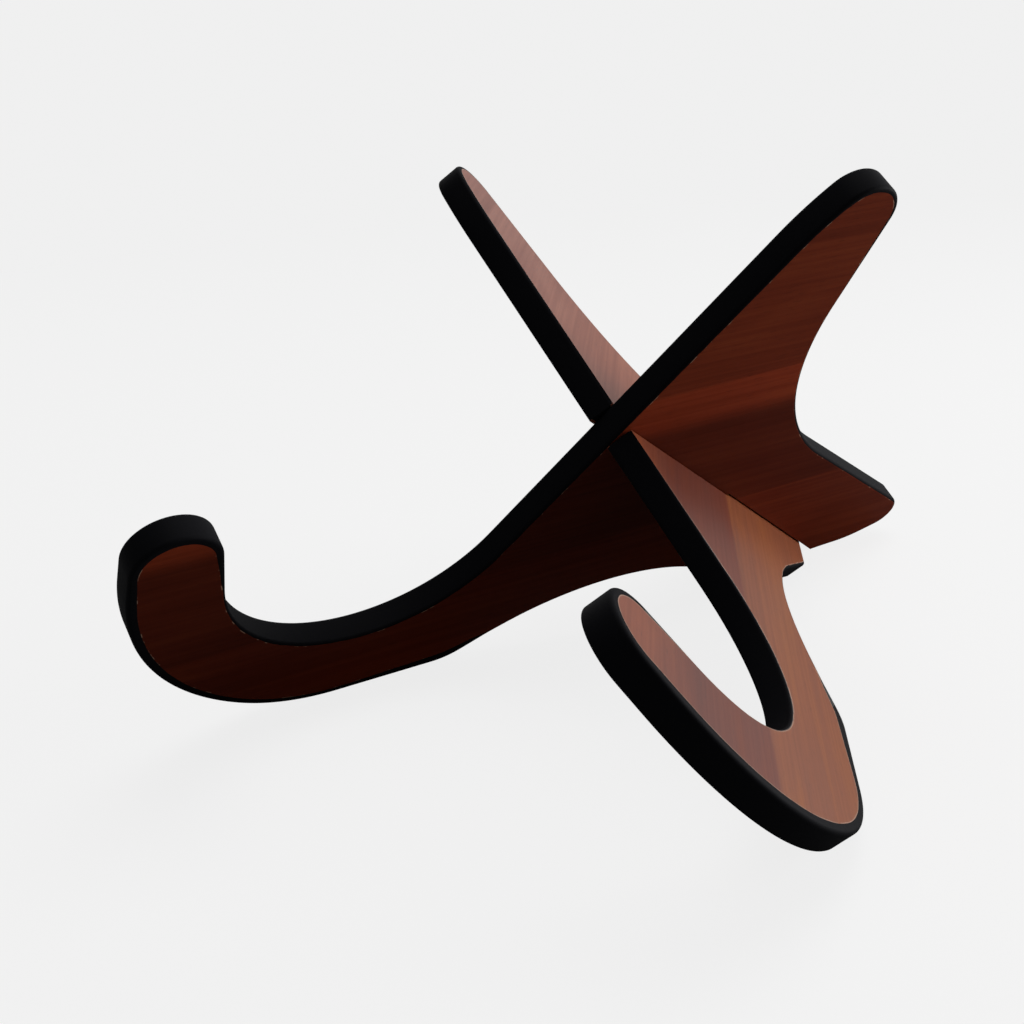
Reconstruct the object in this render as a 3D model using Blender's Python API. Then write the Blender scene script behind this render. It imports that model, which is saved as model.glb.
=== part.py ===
"""A knock-down wooden violin stand: two alike boards that cross in an X and slide together in long slots.

Each board stands on its floor line in its own plane, with u forward along the floor and v up the board.
The hook in front carries the lower bout, the arm above it carries the back, and the foot is behind.
The outline is a belt run round pegs: a peg inside the belt rounds a corner of the board, and a peg
outside it makes a hollow. Straight tangents join them, and the longest is the rest edge.
"""

import math

import bmesh
import bpy
import numpy as np
from mathutils import Matrix, Vector

# Driving dimensions in metres and degrees
BOARD_THICKNESS = 0.009
EDGE_ROUND = 0.0012

# The X: where the boards cross on their rest edges, and the slots where they slide together
CROSSING_HEIGHT = 0.1061
CROSSING_ANGLE = 87.9
SLOT_ANGLE = 41.65
SLOT_CLEARANCE = 0.0003
SEAT_CLEARANCE = 0.0003

# The rest edge and the arm above it, which the back of the violin leans on
REST_SLOPE = 61.2
ARM_HEIGHT = 0.1921
ARM_TIP_RADIUS = 0.0118
SHOULDER_RADIUS = 0.09
SHOULDER_TURN = 13.0
NECK_DROP = 0.0444
NECK_HOLLOW = 0.0044
NECK_RADIUS = 0.0875

# The cradle and the hook round it, which the lower bout sits in
CRADLE_HEIGHT = 0.0314
CRADLE_RADIUS = 0.0497
HOOK_TAPER = 0.0016
HOOK_HEIGHT = 0.1055
HOOK_TIP_RADIUS = 0.0134
SIDE_RADIUS = 0.0877
BELLY_RADIUS = 0.0644
BELLY_TURN = 33.0

# The underside: a heel below the hook, an arch, and the foot behind
HEEL_LENGTH = 0.0348
HEEL_RADIUS = 0.0203
ARCH_HEIGHT = 0.0211
ARCH_FULLNESS = 0.985
FOOT_BACK = 0.0918
FOOT_CORNER_RADIUS = 0.0018
FOOT_LENGTH = 0.0445
TOE_LENGTH = 0.0256
TOE_LIFT = 0.0042
TOE_RADIUS = 0.0086
TOE_FULLNESS = 0.89

# Fineness of the rounds, and the turns from which an edge is rounded or drawn sharp
ARC_STEP = 0.0045
ARC_ANGLE = 12.0
ROUND_STEPS = 3
ARRIS_ANGLE = 60.0
SHARP_ANGLE = 40.0

# How far a slot's cutter runs out past the board's edge and faces
CUTTER_OVERRUN = 0.03

# Satin mahogany, and the black lacquer sprayed on the sawn edges
WOOD_COLOUR = (0.19, 0.075, 0.035)
WOOD_ROUGHNESS = 0.45
LACQUER_COLOUR = (0.012, 0.012, 0.013)
LACQUER_ROUGHNESS = 0.35


def beside_rest_edge(height, distance):
    """The u of a point at this height, this far behind the rest edge's line."""
    slope = math.radians(REST_SLOPE)
    return (CROSSING_HEIGHT - height) / math.tan(slope) - distance / math.sin(slope)


def outward(heading):
    """The way out of the board across an edge that runs in this heading."""
    return np.array((math.sin(heading), -math.cos(heading)))


def carried_on(peg, radius, heading):
    """The peg whose round takes over from this one where the belt has this heading, without a kink."""
    centre = np.array(peg[:2]) + (peg[2] - radius) * outward(heading)
    return (centre[0], centre[1], radius)


def outline_pegs():
    """Each peg's u, v and radius, in order round the board; a minus radius is a peg outside the belt."""
    tip_height = ARM_HEIGHT - ARM_TIP_RADIUS
    shoulder_turn = math.radians(SHOULDER_TURN)
    setback = (SHOULDER_RADIUS - ARM_TIP_RADIUS) * (1 - math.cos(shoulder_turn))
    tip = (beside_rest_edge(tip_height, ARM_TIP_RADIUS + setback), tip_height, ARM_TIP_RADIUS)
    shoulder = carried_on(tip, SHOULDER_RADIUS, math.pi - math.radians(REST_SLOPE) + shoulder_turn)
    neck = tip[0] - ARM_TIP_RADIUS + NECK_HOLLOW - NECK_RADIUS
    cradle_height = CRADLE_HEIGHT + CRADLE_RADIUS
    cradle = beside_rest_edge(cradle_height, -CRADLE_RADIUS)
    hook_tip = cradle + CRADLE_RADIUS + HOOK_TAPER + HOOK_TIP_RADIUS
    belly_turn = math.radians(BELLY_TURN)
    tuck = (SIDE_RADIUS - BELLY_RADIUS) * math.sin(belly_turn)
    belly = (hook_tip + HOOK_TIP_RADIUS - SIDE_RADIUS + tuck, BELLY_RADIUS, BELLY_RADIUS)
    side = carried_on(belly, SIDE_RADIUS, belly_turn)
    heel = belly[0] - HEEL_LENGTH
    foot_front = -FOOT_BACK - FOOT_CORNER_RADIUS
    half_span = (heel + FOOT_BACK) / 2
    widest_arch = (half_span**2 / ARCH_HEIGHT + ARCH_HEIGHT) / 2 - max(HEEL_RADIUS, FOOT_CORNER_RADIUS)
    arch_radius = ARCH_FULLNESS * widest_arch
    sole = -FOOT_BACK - FOOT_LENGTH
    toe_run = TOE_LENGTH - TOE_RADIUS
    widest_sole = (toe_run**2 / TOE_LIFT + TOE_LIFT) / 2 + TOE_RADIUS
    sole_radius = TOE_FULLNESS * widest_sole
    return (
        (sole, sole_radius, sole_radius),
        (foot_front, FOOT_CORNER_RADIUS, FOOT_CORNER_RADIUS),
        (heel - half_span, ARCH_HEIGHT - arch_radius, -arch_radius),
        (heel, HEEL_RADIUS, HEEL_RADIUS),
        belly,
        side,
        (hook_tip, HOOK_HEIGHT - HOOK_TIP_RADIUS, HOOK_TIP_RADIUS),
        (cradle, cradle_height, -CRADLE_RADIUS),
        shoulder,
        tip,
        (neck, tip_height - NECK_DROP, -NECK_RADIUS),
        (sole - toe_run, TOE_LIFT + TOE_RADIUS, TOE_RADIUS),
    )


def tangent_heading(first, second):
    """Heading of the straight run that leaves one peg and meets the next, by the two signed radii."""
    run = (second[0] - first[0], second[1] - first[1])
    lean = (first[2] - second[2]) / math.hypot(*run)
    return math.atan2(run[1], run[0]) + math.asin(min(max(lean, -1.0), 1.0))


def contact(peg, heading):
    """Where a belt with this heading touches a peg."""
    return np.array(peg[:2]) + peg[2] * outward(heading)


def outline_points():
    """The belt as points: an arc on each peg, and nothing between them but the straight runs.

    Where one peg carries on another there is no run, and the point where they touch is given once.
    """
    pegs = outline_pegs()
    headings = [tangent_heading(peg, pegs[(i + 1) % len(pegs)]) for i, peg in enumerate(pegs)]
    points = []
    for i, peg in enumerate(pegs):
        turn = (headings[i] - headings[i - 1] + math.pi) % (2 * math.pi) - math.pi
        if turn * peg[2] < 0:
            turn += math.copysign(2 * math.pi, peg[2])
        fineness = max(abs(turn * peg[2]) / ARC_STEP, abs(math.degrees(turn)) / ARC_ANGLE)
        steps = max(2, math.ceil(fineness))
        arc = [contact(peg, headings[i - 1] + turn * k / steps) for k in range(steps + 1)]
        carries_on = bool(points) and np.allclose(points[-1], arc[0], atol=1e-6)
        points += arc[1:] if carries_on else arc
    return points


def board_turn(side):
    """Rotation that stands a board in the X, from its own u, v and w to the world's X, Y and Z.

    The board with side +1 has its hook on the +X side. Both boards hold the slot line, which lies
    in the plane X = 0 and slopes down to the rear, and both floor lines lie level.
    """
    half = math.radians(CROSSING_ANGLE / 2)
    slot = math.radians(SLOT_ANGLE)
    sideways = side * math.sin(half) * math.sin(slot)
    forward = math.sqrt(1 - sideways**2)
    floor_line = Vector((sideways, -forward, 0.0))
    drop = math.cos(half) * math.sin(slot) / forward
    slot_line = Vector((0.0, math.sqrt(1 - drop**2), -drop))
    up_board = (-slot_line - math.cos(slot) * floor_line) / math.sin(slot)
    return Matrix((floor_line, up_board, floor_line.cross(up_board))).transposed().to_4x4()


def finish(name, colour, roughness):
    made = bpy.data.materials.new(name)
    made.use_nodes = True
    shader = made.node_tree.nodes["Principled BSDF"]
    shader.inputs["Base Color"].default_value = (*colour, 1.0)
    shader.inputs["Roughness"].default_value = roughness
    shader.inputs["Metallic"].default_value = 0.0
    made.diffuse_color = (*colour, 1.0)
    return made


def board(name, stand, side):
    """One board, with its own origin where the boards cross: a wooden sheet with black rounded edges."""
    mesh = bpy.data.meshes.new(name)
    shape = bmesh.new()
    under = -BOARD_THICKNESS / 2
    corners = [shape.verts.new((u, v - CROSSING_HEIGHT, under)) for u, v in outline_points()]
    grown = bmesh.ops.extrude_face_region(shape, geom=[shape.faces.new(corners)])
    raised = [part for part in grown["geom"] if isinstance(part, bmesh.types.BMVert)]
    bmesh.ops.translate(shape, verts=raised, vec=(0.0, 0.0, BOARD_THICKNESS))
    bmesh.ops.recalc_face_normals(shape, faces=shape.faces)
    for face in shape.faces:
        face.material_index = 0 if len(face.verts) > 4 else 1
    shape.to_mesh(mesh)
    shape.free()
    mesh.materials.append(finish(name + " mahogany faces", WOOD_COLOUR, WOOD_ROUGHNESS))
    mesh.materials.append(finish(name + " black lacquered edge", LACQUER_COLOUR, LACQUER_ROUGHNESS))
    made = bpy.data.objects.new(name, mesh)
    bpy.context.collection.objects.link(made)
    rounding = made.modifiers.new("Rounded arrises", "BEVEL")
    rounding.width = EDGE_ROUND
    rounding.segments = ROUND_STEPS
    rounding.limit_method = "ANGLE"
    rounding.angle_limit = math.radians(ARRIS_ANGLE)
    rounding.material = 1
    made.parent = stand
    made.matrix_local = board_turn(side)
    return made


def cut_slot(made, start, end):
    """Cut a board's half of the joint along the slot line, square to its faces, from start to end.

    The other board passes through at the crossing angle, so its slot is a little over its thickness.
    """
    crossing = math.radians(CROSSING_ANGLE)
    width = BOARD_THICKNESS / math.sin(crossing) + BOARD_THICKNESS / math.tan(crossing)
    width += 2 * SLOT_CLEARANCE
    depth = BOARD_THICKNESS + 2 * CUTTER_OVERRUN
    mesh = bpy.data.meshes.new(made.name + "_slot")
    shape = bmesh.new()
    bmesh.ops.create_cube(shape, size=1.0)
    bmesh.ops.scale(shape, vec=(end - start, width, depth), verts=shape.verts)
    bmesh.ops.translate(shape, vec=((start + end) / 2, 0.0, 0.0), verts=shape.verts)
    shape.to_mesh(mesh)
    shape.free()
    cutter = bpy.data.objects.new(mesh.name, mesh)
    bpy.context.collection.objects.link(cutter)
    cutter.hide_render = True
    cutter.display_type = "WIRE"
    cutter.parent = made
    cutter.matrix_local = Matrix.Rotation(math.pi + math.radians(SLOT_ANGLE), 4, "Z")
    cut = made.modifiers.new("Halving slot", "BOOLEAN")
    cut.operation = "DIFFERENCE"
    cut.object = cutter


def set_down(stand, boards):
    """Move the stand so that the middle of its underside is on the origin."""
    bpy.context.view_layer.update()
    graph = bpy.context.evaluated_depsgraph_get()
    places = []
    for made in boards:
        evaluated = made.evaluated_get(graph)
        places += [evaluated.matrix_world @ vertex.co for vertex in evaluated.data.vertices]
    low = np.min(places, axis=0)
    high = np.max(places, axis=0)
    stand.location = (-(low[0] + high[0]) / 2, -(low[1] + high[1]) / 2, -low[2])
    bpy.context.view_layer.update()


def main():
    for old in list(bpy.data.objects):
        bpy.data.objects.remove(old)

    stand = bpy.data.objects.new("stand", None)
    bpy.context.collection.objects.link(stand)
    rear_slotted = board("rear_slotted_board", stand, -1)
    front_slotted = board("front_slotted_board", stand, 1)

    slot_length = CROSSING_HEIGHT / math.sin(math.radians(SLOT_ANGLE))
    cut_slot(rear_slotted, (slot_length - SEAT_CLEARANCE) / 2, slot_length + CUTTER_OVERRUN)
    cut_slot(front_slotted, -CUTTER_OVERRUN, (slot_length + SEAT_CLEARANCE) / 2)
    set_down(stand, (rear_slotted, front_slotted))
    for made in (rear_slotted, front_slotted):
        made.data.shade_smooth()
        made.data.set_sharp_from_angle(angle=math.radians(SHARP_ANGLE))


main()
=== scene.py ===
import math

import bpy
import numpy as np
from mathutils import Matrix, Vector


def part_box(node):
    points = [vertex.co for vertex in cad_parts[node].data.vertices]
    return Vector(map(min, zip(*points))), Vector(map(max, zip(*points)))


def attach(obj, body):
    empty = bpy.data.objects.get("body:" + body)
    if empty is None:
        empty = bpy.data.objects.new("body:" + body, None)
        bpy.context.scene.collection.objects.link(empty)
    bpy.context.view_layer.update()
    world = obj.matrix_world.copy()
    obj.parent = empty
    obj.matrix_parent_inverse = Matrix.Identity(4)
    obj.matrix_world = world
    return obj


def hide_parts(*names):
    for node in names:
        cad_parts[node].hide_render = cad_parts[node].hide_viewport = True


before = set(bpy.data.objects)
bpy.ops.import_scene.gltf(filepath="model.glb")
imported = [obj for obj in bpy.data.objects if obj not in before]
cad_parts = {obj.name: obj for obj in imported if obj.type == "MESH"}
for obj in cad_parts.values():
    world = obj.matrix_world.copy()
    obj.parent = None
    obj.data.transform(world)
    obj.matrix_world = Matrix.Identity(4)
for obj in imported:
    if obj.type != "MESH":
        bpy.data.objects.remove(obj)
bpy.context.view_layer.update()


# The front-slotted board: hook on the right
# Sawn to a template from a 9 mm sheet of glued-up mahogany staves. Every round of the outline is a
# plain arc that a router follows; the arrises are eased, the edges and a margin lacquered black.

SHEET_THICKNESS = 0.009
ARRIS_RADIUS = 0.0012
CROSSING_HEIGHT = 0.1061
CROSSING_TURN = math.radians(87.9)
SLOT_SLOPE = math.radians(41.65)
REST_SLOPE = math.radians(61.2)

# How far the black lacquer runs in from the outline, at each stretch of the edge
BLACK_AT_FOOT = 0.0009
BLACK_AT_ARCH = 0.0009
BLACK_AT_HEEL = 0.0048
BLACK_AT_HOOK = 0.0029
BLACK_AT_HOOK_TIP = 0.0024
BLACK_AT_CRADLE = 0.0008
BLACK_AT_REST = 0.0013
BLACK_AT_TIP = 0.0016


def template_pegs():
    """The outline as a belt round pegs: each row is u forward, v up, radius and the width of black.

    A peg with a minus radius stands outside the belt and makes a hollow. The arm's tip and the hook's
    belly each hand over to a larger round, whose centre lies further back on the same radius.
    """
    arm_height, tip_radius, shoulder_radius, shoulder_turn = 0.1921, 0.0118, 0.09, math.radians(13.0)
    neck_drop, neck_hollow, neck_radius = 0.0444, 0.0044, 0.0875
    cradle_floor, cradle_radius, hook_taper = 0.0314, 0.0497, 0.0016
    hook_height, hook_tip_radius, side_radius = 0.1055, 0.0134, 0.0877
    belly_radius, belly_turn = 0.0644, math.radians(33.0)
    heel_run, heel_radius, arch_height, arch_fullness = 0.0348, 0.0203, 0.0211, 0.985
    foot_back, foot_corner, foot_run = 0.0918, 0.0018, 0.0445
    toe_run, toe_lift, toe_radius, toe_fullness = 0.0256, 0.0042, 0.0086, 0.89

    def behind_rest(height, distance):
        return (CROSSING_HEIGHT - height) / math.tan(REST_SLOPE) - distance / math.sin(REST_SLOPE)

    tip_v = arm_height - tip_radius
    tip_u = behind_rest(tip_v, tip_radius + (shoulder_radius - tip_radius) * (1 - math.cos(shoulder_turn)))
    shoulder_heading = math.pi - REST_SLOPE + shoulder_turn
    shoulder_u = tip_u - (shoulder_radius - tip_radius) * math.sin(shoulder_heading)
    shoulder_v = tip_v + (shoulder_radius - tip_radius) * math.cos(shoulder_heading)
    neck_u = tip_u - tip_radius + neck_hollow - neck_radius
    cradle_v = cradle_floor + cradle_radius
    cradle_u = behind_rest(cradle_v, -cradle_radius)
    hook_tip_u = cradle_u + cradle_radius + hook_taper + hook_tip_radius
    side_u = hook_tip_u + hook_tip_radius - side_radius
    side_v = belly_radius + (side_radius - belly_radius) * math.cos(belly_turn)
    belly_u = side_u + (side_radius - belly_radius) * math.sin(belly_turn)
    heel_u = belly_u - heel_run
    half_span = (heel_u + foot_back) / 2
    arch_radius = arch_fullness * ((half_span**2 / arch_height + arch_height) / 2 - heel_radius)
    sole_u = -foot_back - foot_run
    toe_reach = toe_run - toe_radius
    sole_radius = toe_fullness * ((toe_reach**2 / toe_lift + toe_lift) / 2 + toe_radius)
    return np.array((
        (sole_u, sole_radius, sole_radius, BLACK_AT_FOOT),
        (-foot_back - foot_corner, foot_corner, foot_corner, BLACK_AT_FOOT),
        (heel_u - half_span, arch_height - arch_radius, -arch_radius, BLACK_AT_ARCH),
        (heel_u, heel_radius, heel_radius, BLACK_AT_HEEL),
        (belly_u, belly_radius, belly_radius, BLACK_AT_HOOK),
        (side_u, side_v, side_radius, BLACK_AT_HOOK),
        (hook_tip_u, hook_height - hook_tip_radius, hook_tip_radius, BLACK_AT_HOOK_TIP),
        (cradle_u, cradle_v, -cradle_radius, BLACK_AT_CRADLE),
        (shoulder_u, shoulder_v, shoulder_radius, BLACK_AT_REST),
        (tip_u, tip_v, tip_radius, BLACK_AT_TIP),
        (neck_u, tip_v - neck_drop, -neck_radius, BLACK_AT_FOOT),
        (sole_u - toe_reach, toe_lift + toe_radius, toe_radius, BLACK_AT_FOOT),
    ))


SLOT_PLAY = 0.00005
SLOT_LIP_RADIUS = 0.0003
SLOT_END_RADIUS = 0.0006


def slot_pegs(mouth_normal, mouth_distance, first_wall, end, away):
    """Four pegs that lead the belt into a slot and out again: lip, end corner, end corner, lip.

    The slot's middle runs from the crossing down along the slot line. A lip is where the mouth's edge
    and a wall, both drawn in by the lip's radius, meet, which solves two linear equations.
    """
    along = np.array((-math.cos(SLOT_SLOPE), -math.sin(SLOT_SLOPE)))
    across = np.array((math.sin(SLOT_SLOPE), -math.cos(SLOT_SLOPE))) * first_wall
    width = SHEET_THICKNESS / math.sin(CROSSING_TURN) + SHEET_THICKNESS / math.tan(CROSSING_TURN)
    half_width = width / 2 + SLOT_PLAY
    crossing = np.array((0.0, CROSSING_HEIGHT))
    pegs = []
    for wall in (1, -1):
        sides = np.array((mouth_normal, across * wall))
        lip = np.linalg.solve(sides, (mouth_distance - SLOT_LIP_RADIUS, half_width + SLOT_LIP_RADIUS))
        corner = along * (end + away * SLOT_END_RADIUS) + across * wall * (half_width - SLOT_END_RADIUS)
        pegs.append((*(crossing + lip), SLOT_LIP_RADIUS, BLACK_AT_REST))
        pegs.append((*(crossing + corner), -SLOT_END_RADIUS, BLACK_AT_REST))
    return np.array((pegs[0], pegs[1], pegs[3], pegs[2]))


def belt_headings(pegs):
    """Heading in which the belt arrives at each peg, its turn there, and the length of the run after it.

    A run has the heading of the line between two centres, plus the arcsine of the difference of the
    radii over the distance. The turn has the sign of the peg's radius.
    """
    across = np.roll(pegs[:, :2], -1, axis=0) - pegs[:, :2]
    distance = np.hypot(*across.T)
    slack = pegs[:, 2] - np.roll(pegs[:, 2], -1)
    leave = np.arctan2(across[:, 1], across[:, 0]) + np.arcsin(np.clip(slack / distance, -1, 1))
    arrive = np.roll(leave, 1)
    turn = (leave - arrive + math.pi) % (2 * math.pi) - math.pi
    turn = np.where(turn * pegs[:, 2] < 0, turn + np.copysign(2 * math.pi, pegs[:, 2]), turn)
    return arrive, turn, np.sqrt(np.maximum(distance**2 - slack**2, 0))


ARC_STEP = 0.0015
ARC_TURN_STEP = math.radians(5)
LEAST_ARC_STEPS = 4
RUN_STEP = 0.003
SHORTEST_RUN = 0.00001


def belt_layout(pegs, slot_first):
    """How the belt's points are shared out: a row for each point.

    A row holds the point's peg, its share of the arc there, its share of the run to the next peg, and
    how far it belongs to the slot, from 0 to 1, which goes up over the first lip and down over the last.
    """
    arrive, turn, length = belt_headings(pegs[:, :3])
    layout = []
    for peg, (angle, run) in enumerate(zip(turn, length)):
        steps_by_length = math.ceil(abs(angle * pegs[peg, 2]) / ARC_STEP)
        steps_by_turn = math.ceil(abs(angle) / ARC_TURN_STEP)
        arc_steps = max(LEAST_ARC_STEPS, steps_by_length, steps_by_turn)
        run_steps = math.ceil(run / RUN_STEP) if run > SHORTEST_RUN else 0
        place = peg - slot_first
        share = np.arange(arc_steps) / arc_steps
        if place == 0:
            inside = share
        elif place == 3:
            inside = 1 - share
        else:
            inside = np.full(arc_steps, float(place in (1, 2)))
        layout.append(np.column_stack((np.full(arc_steps, peg), share, np.zeros(arc_steps), inside)))
        share = np.arange(run_steps) / max(run_steps, 1)
        inside = np.full(run_steps, float(place in (0, 1, 2)))
        layout.append(np.column_stack((np.full(run_steps, peg), np.ones(run_steps), share, inside)))
    return np.concatenate(layout)


LAST_OF_ROUND = 0.25


def belt(pegs, layout, inset):
    """Points of the belt drawn in by an inset for each peg, in the sheet's plane.

    Each peg's radius loses the inset and a hollow's grows by it. The last quarter of a round's radius
    dies away towards nothing. A point is its peg's centre plus the radius times the way out of the
    sheet, and on a run it is the same share of the way between its two ends.
    """
    radius = pegs[:, 2]
    last = np.abs(radius) * LAST_OF_ROUND
    beyond = inset - (np.abs(radius) - last)
    shrunk = np.where(beyond < 0, radius - inset, last * np.exp(-beyond / last))
    drawn = np.column_stack((pegs[:, :2], np.where(radius > 0, shrunk, radius - inset)))
    arrive, turn, _ = belt_headings(drawn)
    peg = layout[:, 0].astype(int)
    following = (peg + 1) % len(pegs)
    heading = arrive[peg] + turn[peg] * layout[:, 1]
    ahead = arrive[following]
    here = drawn[peg, :2] + drawn[peg, 2:] * np.column_stack((np.sin(heading), -np.cos(heading)))
    there = drawn[following, :2] + drawn[following, 2:] * np.column_stack((np.sin(ahead), -np.cos(ahead)))
    return here + (there - here) * layout[:, 2:3]


def stand_turn(side):
    """The turn from a board's u, v and w to the room, as the columns of a matrix.

    Both boards hold the slot line, which lies in the plane X = 0, and both floor lines are level, so
    a floor line goes sideways by the sine of half the crossing turn times the sine of the slot's
    slope. Side is +1 where the hook is on the +X side.
    """
    sideways = side * math.sin(CROSSING_TURN / 2) * math.sin(SLOT_SLOPE)
    floor_line = np.array((sideways, -math.sqrt(1 - sideways**2), 0.0))
    drop = math.cos(CROSSING_TURN / 2) * math.sin(SLOT_SLOPE) / -floor_line[1]
    slot_line = np.array((0.0, math.sqrt(1 - drop**2), -drop))
    up_board = (-slot_line - math.cos(SLOT_SLOPE) * floor_line) / math.sin(SLOT_SLOPE)
    return np.column_stack((floor_line, up_board, np.cross(floor_line, up_board)))


# Steps round the arris, rows past the black's border, and how sharply the black ends at a slot's wall
ARRIS_STEPS = 7
MARGIN_ROWS = (0.0, 0.0002, 0.0012)
ARRIS_SHARE_IN_SLOT = 0.05
WALL_BORDER_GAIN = 40
BORDER_TOLERANCE = 0.000001
SHARP_FROM = math.radians(35)


def board(name, node, side, pegs, slot_first):
    """One board as a profile carried along its outline, and a flat face inside each end of the profile.

    The profile goes in from the edge as a quarter round: it is set in by the radius times one less the
    angle's cosine, and lies below the face by the radius times one less its sine. Then it runs flat to
    the border of the black and a little past it. In the slot the round is only a trace, and only the
    wall is black. Faces that lie wholly in the black take the second material.
    """
    layout = belt_layout(pegs, slot_first)
    in_slot = layout[:, 3]
    angle = np.linspace(0, math.pi / 2, ARRIS_STEPS)
    rounding = ARRIS_RADIUS * (1 - np.cos(angle))
    border = np.maximum(pegs[:, 3], ARRIS_RADIUS + MARGIN_ROWS[1])
    inset = [np.full(len(pegs), depth) for depth in rounding] + [border + row for row in MARGIN_ROWS]
    height = np.full(len(inset), SHEET_THICKNESS / 2)
    height[:ARRIS_STEPS] -= ARRIS_RADIUS * (1 - np.sin(angle))
    inset = np.array(inset[::-1] + inset[:1] + inset)
    height = np.concatenate((height[::-1], (0.0,), -height))
    peg = layout[:, 0].astype(int)
    black = np.tile(pegs[:, 3], (len(inset), 1))
    past_black = inset - black
    past_black = past_black[:, peg] + (np.roll(past_black, -1, axis=1) - past_black)[:, peg] * layout[:, 2]
    past_wall = (inset[:, :1] - rounding[1] / 2) * WALL_BORDER_GAIN
    past_black = past_black * (1 - in_slot) + past_wall * in_slot
    wood = np.maximum(past_black, np.roll(past_black, -1, axis=1)) > BORDER_TOLERANCE
    lacquered = ~(wood[:-1] | wood[1:])
    flat = np.array([
        belt(pegs, layout, depth) * (1 - in_slot[:, None])
        + belt(pegs, layout, depth * ARRIS_SHARE_IN_SLOT) * in_slot[:, None]
        for depth in inset])
    place = np.concatenate((flat, np.broadcast_to(height[:, None, None], flat.shape[:2] + (1,))), axis=2)
    place = place.reshape(-1, 3)
    count = len(layout)
    rows = len(inset)
    row, column = np.meshgrid(np.arange(rows - 1), np.arange(count), indexing="ij")
    beside = (column + 1) % count
    quads = np.stack((row, row + 1, row + 1, row), axis=-1) * count
    quads = (quads + np.stack((column, column, beside, beside), axis=-1)).reshape(-1, 4)
    top = np.arange(count)
    bottom = top[::-1] + (rows - 1) * count
    room = (place - (0.0, CROSSING_HEIGHT, 0.0)) @ stand_turn(side).T
    low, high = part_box(node)
    room[:, 1] += (low[1] + high[1]) / 2 - (room[:, 1].min() + room[:, 1].max()) / 2
    room[:, 2] -= room[:, 2].min()
    mesh = bpy.data.meshes.new(name)
    mesh.from_pydata(room.tolist(), [], quads.tolist() + [top.tolist(), bottom.tolist()])
    mesh.polygons.foreach_set("material_index", np.append(lacquered.ravel(), (0, 0)).astype(np.int32))
    mesh.attributes.new("sheet_place", "FLOAT_VECTOR", "POINT").data.foreach_set("vector", place.ravel())
    past_black_mm = mesh.attributes.new("past_black_mm", "FLOAT", "POINT")
    past_black_mm.data.foreach_set("value", past_black.ravel() * 1000)
    mesh.shade_smooth()
    mesh.set_sharp_from_angle(angle=SHARP_FROM)
    mesh.validate()
    made = bpy.data.objects.new(name, mesh)
    bpy.context.scene.collection.objects.link(made)
    return made


def linear(colour):
    """An sRGB hex colour as linear red, green, blue and alpha."""
    parts = np.array([int(colour[i:i + 2], 16) for i in (1, 3, 5)]) / 255
    parts = np.where(parts <= 0.04045, parts / 12.92, ((parts + 0.055) / 1.055) ** 2.4)
    return (*parts.tolist(), 1.0)


def add(tree, kind, values=(), **settings):
    """Adds a node with its settings. An input, by name or number, gets a value or a socket to feed it."""
    made = tree.nodes.new(kind)
    for name, value in settings.items():
        setattr(made, name, value)
    for name, value in dict(values).items():
        if isinstance(value, bpy.types.NodeSocket):
            tree.links.new(value, made.inputs[name])
        else:
            made.inputs[name].default_value = value
    return made


# The staves of the sheet, and the tones' range up the board
BOARD_HEIGHT = 0.2
JOINT_SLANT = 0.04
STAVE_WIDTH = 0.0695
FIRST_JOINT = 0.049
SECOND_JOINT = FIRST_JOINT + STAVE_WIDTH
JOINT_BLEND = 0.0003
STAVE_SHIFT = (0.9, 3.1, 1.7)

# The figure of the wood, along and across the staves
GRAIN_LENGTH = 0.125
GRAIN_SPACING = 0.002222
RIBBON_LENGTH = 0.100
RIBBON_WIDTH = 0.020
PORE_LENGTH = 0.005
PORE_WIDTH = 0.0005
RIBBON_SHARE = 0.45

# How the black's border wanders, where its pale line (bare wood and a painted highlight) shows, and how far
# the wander goes in mm
WANDER_LENGTH = 0.005556
WANDER_MM = 0.5
WEAR_AND_GLINT_LENGTH = 0.003333


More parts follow.
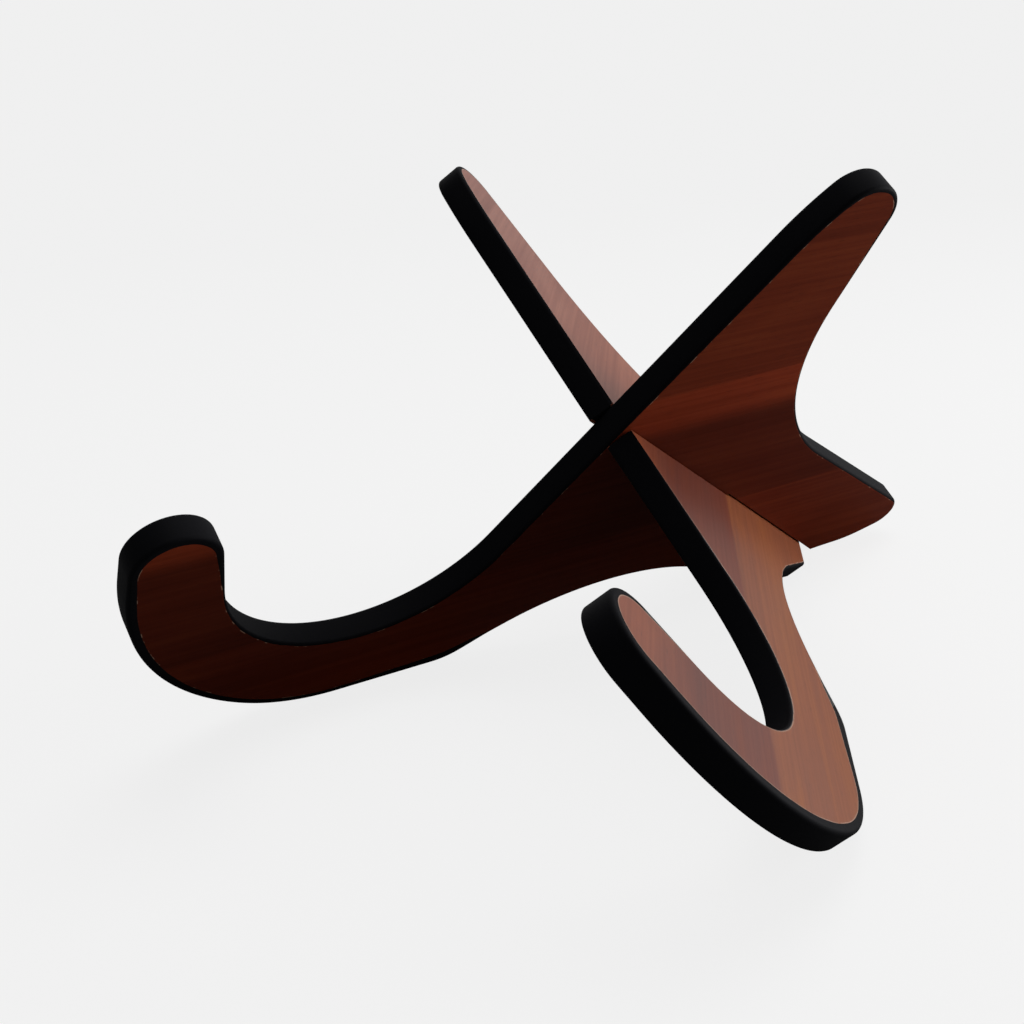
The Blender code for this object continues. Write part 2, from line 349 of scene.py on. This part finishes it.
def satin_mahogany(name, tones, line_cover, gloss):
    """Mahogany staves, stained red and lacquered satin, with black lacquer on the edges.

    Seen flat, the satin lacquer shows a blurred mirror of the room. Seen from above, it shows red wood
    with fine grain lines in broad ribbons, and cut pores as short dark dashes along the staves. Tones
    lists heights up the board with the tone there and how yellow it is; a tone holds the wood's own
    tone and, where a board's table says so, painted shade. Along the black's border a pale line a
    hair's breadth wide shows, over a share line_cover of it: partly bare wood, partly a painted
    highlight of the eased edge. Gloss is how strongly the lacquer mirrors the room.
    """
    made = bpy.data.materials.new(name)
    made.use_nodes = True
    tree = made.node_tree
    shader = tree.nodes["Principled BSDF"]
    place = add(tree, "ShaderNodeAttribute", attribute_name="sheet_place").outputs["Vector"]

    # The glue joints run a little downhill to the front
    up = add(tree, "ShaderNodeVectorMath", {
        0: place, 1: (JOINT_SLANT, 1.0, 0.0)}, operation="DOT_PRODUCT").outputs["Value"]
    share = add(tree, "ShaderNodeMath", {0: up, 1: 1 / BOARD_HEIGHT}, operation="MULTIPLY")
    # The ramp's tones are the staves' own, with painted shade where a board's tones table puts it
    stave = add(tree, "ShaderNodeValToRGB", {0: share.outputs[0]})
    stops = stave.color_ramp.elements
    while len(stops) < len(tones):
        stops.new(1.0)
    for stop, (height, tone, yellow) in zip(stops, tones):
        stop.position = height / BOARD_HEIGHT
        stop.color = (tone, tone * yellow, tone * (1 + yellow) / 2, 1)

    # Each stave is its own piece of wood, so the figure is moved along by the stave's number
    number = add(tree, "ShaderNodeMath", {0: up, 1: -FIRST_JOINT}, operation="ADD")
    number = add(tree, "ShaderNodeMath", {0: number.outputs[0], 1: 1 / STAVE_WIDTH}, operation="MULTIPLY")
    number = add(tree, "ShaderNodeMath", {0: number.outputs[0]}, operation="FLOOR")
    shift = add(tree, "ShaderNodeVectorMath", {0: number.outputs[0], 1: STAVE_SHIFT}, operation="MULTIPLY")
    shifted = add(tree, "ShaderNodeVectorMath", {0: place, 1: shift.outputs[0]}, operation="ADD").outputs[0]

    streaks = []
    for length, width, detail, distortion in (
            (GRAIN_LENGTH, GRAIN_SPACING, 5.0, 0.4),
            (RIBBON_LENGTH, RIBBON_WIDTH, 2.0, 0.6),
            (PORE_LENGTH, PORE_WIDTH, 1.0, 0.0)):
        stretched = add(tree, "ShaderNodeMapping", {
            "Vector": shifted, "Scale": (1 / length, 1 / width, 1 / width)}).outputs[0]
        streaks.append(add(tree, "ShaderNodeTexNoise", {
            "Vector": stretched, "Scale": 1.0, "Detail": detail, "Roughness": 0.6,
            "Distortion": distortion}).outputs["Fac"])
    grain, ribbon, pore = streaks
    figure = add(tree, "ShaderNodeMix", {0: RIBBON_SHARE, 2: grain, 3: ribbon}).outputs[0]
    wood = add(tree, "ShaderNodeValToRGB", {0: figure})
    stops = wood.color_ramp.elements
    stops[0].position, stops[0].color = 0.32, linear("#762B13")
    stops[1].position, stops[1].color = 0.68, linear("#974020")
    stops.new(0.5).color = linear("#87341A")
    toned = add(tree, "ShaderNodeMix", {
        0: 1.0, 6: wood.outputs["Color"], 7: stave.outputs["Color"],
    }, data_type="RGBA", blend_type="MULTIPLY")
    pore_mask = add(tree, "ShaderNodeMapRange", {
        "Value": pore, "From Min": 0.60, "From Max": 0.74, "To Max": 0.3}).outputs[0]
    pored = add(tree, "ShaderNodeMix", {
        0: pore_mask, 6: toned.outputs[2], 7: linear("#35150B")}, data_type="RGBA")

    # The black's border wanders by a tenth or two of a millimetre. From there the ranges are in mm: the
    # wood is bare past the border, and the pale line is a quarter of a millimetre wide: partly bare wood,
    # partly a painted highlight of the eased edge
    wander = add(tree, "ShaderNodeTexNoise", {
        "Vector": place, "Scale": 1 / WANDER_LENGTH, "Detail": 3.0}).outputs["Fac"]
    edge = add(tree, "ShaderNodeAttribute", attribute_name="past_black_mm").outputs["Fac"]
    border = add(tree, "ShaderNodeMath", {
        0: wander, 1: WANDER_MM, 2: edge}, operation="MULTIPLY_ADD").outputs[0]
    border = add(tree, "ShaderNodeMath", {0: border, 1: -WANDER_MM / 2}, operation="ADD").outputs[0]
    bare = add(tree, "ShaderNodeMapRange", {
        "Value": border, "From Min": -0.05, "From Max": 0.05}).outputs[0]
    coming = add(tree, "ShaderNodeMapRange", {
        "Value": border, "From Min": -0.05, "From Max": 0.08}).outputs[0]
    going = add(tree, "ShaderNodeMapRange", {
        "Value": border, "From Min": 0.34, "From Max": 0.16}).outputs[0]
    line = add(tree, "ShaderNodeMath", {0: coming, 1: going}, operation="MULTIPLY").outputs[0]
    wear_and_glint = add(tree, "ShaderNodeTexNoise", {
        "Vector": place, "Scale": 1 / WEAR_AND_GLINT_LENGTH, "Detail": 3.0}).outputs["Fac"]
    shows = add(tree, "ShaderNodeMapRange", {
        "Value": wear_and_glint, "From Min": 0.75 - line_cover / 2, "From Max": 0.82 - line_cover / 2}).outputs[0]
    line = add(tree, "ShaderNodeMath", {0: line, 1: shows}, operation="MULTIPLY").outputs[0]
    # The pale line's colour is partly bare wood and partly a painted highlight along the eased edge
    worn_and_glinting = add(tree, "ShaderNodeMix", {
        0: line, 6: pored.outputs[2], 7: linear("#B28C76")}, data_type="RGBA")
    colour = add(tree, "ShaderNodeMix", {
        0: bare, 6: linear("#09090B"), 7: worn_and_glinting.outputs[2]}, data_type="RGBA")
    tree.links.new(colour.outputs[2], shader.inputs["Base Color"])
    rough = add(tree, "ShaderNodeMapRange", {
        "Value": figure, "From Min": 0.3, "From Max": 0.7, "To Min": 0.46, "To Max": 0.36}).outputs[0]
    tree.links.new(rough, shader.inputs["Roughness"])
    shader.inputs["Specular IOR Level"].default_value = gloss
    bump = add(tree, "ShaderNodeBump", {"Height": figure, "Strength": 0.1, "Distance": 0.0004})
    tree.links.new(bump.outputs["Normal"], shader.inputs["Normal"])
    return made


BRUSH_MARK_WIDTH = 0.001111


def black_lacquer(name):
    """Brushed black lacquer on sawn edges: nearly matt, so dark that only a low glint shows its form."""
    made = bpy.data.materials.new(name)
    made.use_nodes = True
    tree = made.node_tree
    shader = tree.nodes["Principled BSDF"]
    place = add(tree, "ShaderNodeAttribute", attribute_name="sheet_place").outputs["Vector"]
    # Brush marks a millimetre wide, with dust and saw marks of a few tenths below them
    marks = add(tree, "ShaderNodeTexNoise", {
        "Vector": place, "Scale": 1 / BRUSH_MARK_WIDTH, "Detail": 4.0, "Roughness": 0.6}).outputs["Fac"]
    tint = add(tree, "ShaderNodeMix", {
        0: marks, 6: linear("#0E0E11"), 7: linear("#151519")}, data_type="RGBA")
    tree.links.new(tint.outputs[2], shader.inputs["Base Color"])
    rough = add(tree, "ShaderNodeMapRange", {"Value": marks, "To Min": 0.6, "To Max": 0.75})
    tree.links.new(rough.outputs[0], shader.inputs["Roughness"])
    shader.inputs["Specular IOR Level"].default_value = 0.05
    bump = add(tree, "ShaderNodeBump", {"Height": marks, "Strength": 0.15, "Distance": 0.0002})
    tree.links.new(bump.outputs["Normal"], shader.inputs["Normal"])
    return made


# The slot opens on the rest edge, between the cradle's peg and the shoulder's, and goes down to the
# middle of the slot line. The ends of the two slots stay a seat gap apart
REST_NORMAL = (math.sin(REST_SLOPE), math.cos(REST_SLOPE))
REST_SLOT_AT = 8
SLOT_MIDDLE = CROSSING_HEIGHT / math.sin(SLOT_SLOPE) / 2
SEAT_GAP = 0.0003

# Height up the board, the tone and its yellow: a pale bottom stave, a dark line above the middle of
# the next one, partly the stave's own tone and partly painted shade where the rear board overhangs
# it near the crossing, and a lighter arm
FRONT_TONES = (
    (0.0, 1.12, 1.7),
    (FIRST_JOINT, 1.12, 1.7),
    (FIRST_JOINT + JOINT_BLEND, 0.72, 1.15),
    (0.08, 0.6, 1.1),
    (0.1, 1.1, 1.45),
    (0.15, 0.9, 1.3))

outline = template_pegs()
rest_slot = slot_pegs(REST_NORMAL, 0.0, 1, SLOT_MIDDLE + SEAT_GAP / 2, -1)
front_pegs = np.concatenate((outline[:REST_SLOT_AT], rest_slot, outline[REST_SLOT_AT:]))
front_board = board("front_board", "front_slotted_board", 1, front_pegs, REST_SLOT_AT)
front_board.data.materials.append(
    satin_mahogany("satin mahogany, pale bottom stave", FRONT_TONES, line_cover=0.8, gloss=0.42))
edge_black = black_lacquer("black lacquer")
front_board.data.materials.append(edge_black)
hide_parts("front_slotted_board")
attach(front_board, "front_slotted_board")


# The rear-slotted board: hook on the left
# The same board turned over. Its slot comes up from the sole of the foot to halfway along the slot
# line, and it is pushed down over the other board.

SOLE_NORMAL = (0.0, -1.0)
SOLE_SLOT_AT = 1

# Its lower staves are toned darker than the front board's, partly as painted shade on its face that
# turns down and away from the lamps. The middle stave is darker up to 98 mm and brightens to orange
# above that, at its top edge, and a quieter one lies above it
REAR_TONES = (
    (0.0, 0.66, 0.95),
    (FIRST_JOINT, 0.64, 0.95),
    (FIRST_JOINT + JOINT_BLEND, 0.46, 0.95),
    (0.098, 0.46, 0.95),
    (0.104, 1.1, 1.0),
    (SECOND_JOINT, 1.35, 1.0),
    (SECOND_JOINT + JOINT_BLEND, 0.83, 1.05))

sole_slot = slot_pegs(SOLE_NORMAL, CROSSING_HEIGHT, -1, SLOT_MIDDLE - SEAT_GAP / 2, 1)
rear_pegs = np.concatenate((outline[:SOLE_SLOT_AT], sole_slot, outline[SOLE_SLOT_AT:]))
rear_board = board("rear_board", "rear_slotted_board", -1, rear_pegs, SOLE_SLOT_AT)
rear_board.data.materials.append(
    satin_mahogany("satin mahogany, dark top stave", REAR_TONES, line_cover=0.35, gloss=0.07))
rear_board.data.materials.append(edge_black)
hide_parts("rear_slotted_board")
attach(rear_board, "rear_slotted_board")


# The floor
# A plain sheet of pale card. What it throws back on the stand, and what mirrors in the boards close
# above it, is that of a darker table; the camera and farther reflections see it pale.

FLOOR_SIZE = 12.0
FLOOR_CELLS = 8
FLOOR_LIFT = 0.82
FAR_LEVEL = 0.87
FLOOR_MIRRORED = 0.27
MIRRORED_FROM = 0.15
MIRRORED_WHOLLY_FROM = 0.5
EVEN_FROM = 0.35
WHOLLY_EVEN_FROM = 1.0

side_points = FLOOR_CELLS + 1
reach = np.linspace(-FLOOR_SIZE / 2, FLOOR_SIZE / 2, side_points)
floor_x, floor_y = np.meshgrid(reach, reach)
floor_mesh = bpy.data.meshes.new("floor")
corner = (np.arange(FLOOR_CELLS)[:, None] * side_points + np.arange(FLOOR_CELLS)).ravel()
floor_mesh.from_pydata(
    np.column_stack((floor_x.ravel(), floor_y.ravel(), np.zeros(side_points**2))).tolist(), [],
    np.column_stack((corner, corner + 1, corner + side_points + 1, corner + side_points)).tolist())
floor = bpy.data.objects.new("floor", floor_mesh)
bpy.context.scene.collection.objects.link(floor)
card = bpy.data.materials.new("pale card")
card.use_nodes = True
tree = card.node_tree
tree.nodes.remove(tree.nodes["Principled BSDF"])
path = add(tree, "ShaderNodeLightPath").outputs
away = add(tree, "ShaderNodeVectorMath", {
    0: add(tree, "ShaderNodeTexCoord").outputs["Object"]}, operation="LENGTH").outputs["Value"]
far = add(tree, "ShaderNodeMapRange", {
    "Value": away, "From Min": MIRRORED_FROM, "From Max": MIRRORED_WHOLLY_FROM}).outputs[0]
far = add(tree, "ShaderNodeMath", {0: far, 1: FLOOR_MIRRORED}, operation="MULTIPLY").outputs[0]
mirrored = add(tree, "ShaderNodeMath", {0: path["Is Glossy Ray"], 1: far}, operation="MULTIPLY").outputs[0]
seen = add(tree, "ShaderNodeMath", {
    0: path["Is Camera Ray"], 1: path["Is Transmission Ray"]}, operation="ADD").outputs[0]
seen = add(tree, "ShaderNodeMath", {0: seen, 1: mirrored}, operation="ADD", use_clamp=True).outputs[0]
thrown = add(tree, "ShaderNodeMix", {
    0: path["Is Glossy Ray"], 6: linear("#A0A0A0"), 7: linear("#787878")}, data_type="RGBA").outputs[2]
tone = add(tree, "ShaderNodeMix", {0: seen, 6: thrown, 7: linear("#F0F0F0")}, data_type="RGBA")
matte = add(tree, "ShaderNodeBsdfDiffuse", {"Color": tone.outputs[2]})
# Away from the stand the floor glows evenly, at the room's level, so no lamp leaves a patch on it
outer = add(tree, "ShaderNodeMapRange", {
    "Value": away, "From Min": EVEN_FROM, "From Max": WHOLLY_EVEN_FROM}).outputs[0]
lift = add(tree, "ShaderNodeMix", {0: outer, 2: FLOOR_LIFT, 3: 1.0}).outputs[0]
lift = add(tree, "ShaderNodeMath", {0: seen, 1: lift}, operation="MULTIPLY").outputs[0]
strength = add(tree, "ShaderNodeMix", {0: outer, 2: 1.0, 3: FAR_LEVEL}).outputs[0]
glow = add(tree, "ShaderNodeEmission", {"Color": (1, 1, 1, 1), "Strength": strength})
mixed = add(tree, "ShaderNodeMixShader", {0: lift, 1: matte.outputs[0], 2: glow.outputs[0]})
tree.links.new(mixed.outputs[0], tree.nodes["Material Output"].inputs["Surface"])
floor_mesh.materials.append(card)


# The light
# Two soft boxes, one low at the right behind the stand and one overhead, in a room that is pale
# behind the stand and darker in front of it.


def soft_box(name, way, distance, width, height, watts):
    """A rectangular lamp that faces the stand from a distance."""
    lamp_data = bpy.data.lights.new(name, "AREA")
    lamp_data.shape = "RECTANGLE"
    lamp_data.size = width
    lamp_data.size_y = height
    lamp_data.energy = watts
    lamp = bpy.data.objects.new(name, lamp_data)
    way = Vector(way).normalized()
    lamp.location = way * distance
    lamp.rotation_euler = way.to_track_quat("Z", "Y").to_euler()
    bpy.context.scene.collection.objects.link(lamp)


soft_box("low soft box", (0.70, 0.66, 0.14), distance=1.0, width=0.6, height=0.35, watts=7.0)
soft_box("overhead soft box", (0.10, 0.15, 1.0), distance=1.4, width=1.0, height=1.0, watts=5.0)

# The room turns pale from just in front of the stand's own plane to well behind it
ROOM_TURNS_FROM = -0.1
ROOM_TURNS_TO = 0.7
ROOM_IN_FRONT = 0.16
ROOM_BEHIND = 1.0
ROOM_LIT = 0.4
ROOM_MIRRORED = 0.8

room = bpy.data.worlds.new("pale room")
room.use_nodes = True
tree = room.node_tree
path = add(tree, "ShaderNodeLightPath").outputs
way = add(tree, "ShaderNodeSeparateXYZ", {0: add(tree, "ShaderNodeTexCoord").outputs["Generated"]})
behind = add(tree, "ShaderNodeMapRange", {
    "Value": way.outputs["Y"], "From Min": ROOM_TURNS_FROM, "From Max": ROOM_TURNS_TO,
    "To Min": ROOM_IN_FRONT, "To Max": ROOM_BEHIND}).outputs[0]
shown = add(tree, "ShaderNodeMath", {
    0: path["Is Glossy Ray"], 1: path["Is Transmission Ray"]}, operation="ADD").outputs[0]
shown = add(tree, "ShaderNodeMath", {0: shown, 1: path["Is Camera Ray"]}, operation="ADD").outputs[0]
level = add(tree, "ShaderNodeMix", {0: shown, 2: ROOM_LIT, 3: ROOM_MIRRORED}).outputs[0]
strength = add(tree, "ShaderNodeMath", {0: behind, 1: level}, operation="MULTIPLY").outputs[0]
strength = add(tree, "ShaderNodeMix", {0: path["Is Camera Ray"], 2: strength, 3: FAR_LEVEL}).outputs[0]
tree.links.new(strength, tree.nodes["Background"].inputs["Strength"])
tree.nodes["Background"].inputs["Color"].default_value = (1, 1, 1, 1)
bpy.context.scene.world = room


# The camera
# Its place, turn, roll and lens were worked out from the edges of the stand in the photograph.

CAMERA_PLACE = Vector((0.22288, -0.40941, 0.21949))
CAMERA_AZIMUTH = math.radians(33.780)
CAMERA_DROP = math.radians(19.271)
CAMERA_ROLL = math.radians(4.132)
CAMERA_LENS = 54.673

camera_data = bpy.data.cameras.new("camera")
camera_data.sensor_width = 36.0
camera_data.lens = CAMERA_LENS
camera_data.clip_start = 0.01
camera = bpy.data.objects.new("camera", camera_data)
camera.location = CAMERA_PLACE
look = Vector((
    -math.sin(CAMERA_AZIMUTH) * math.cos(CAMERA_DROP),
    math.cos(CAMERA_AZIMUTH) * math.cos(CAMERA_DROP),
    -math.sin(CAMERA_DROP)))
level_view = look.to_track_quat("-Z", "Y").to_matrix()
camera.rotation_euler = (level_view @ Matrix.Rotation(-CAMERA_ROLL, 3, "Z")).to_euler()
bpy.context.scene.collection.objects.link(camera)
bpy.context.scene.camera = camera
bpy.context.scene.view_settings.view_transform = "Standard"
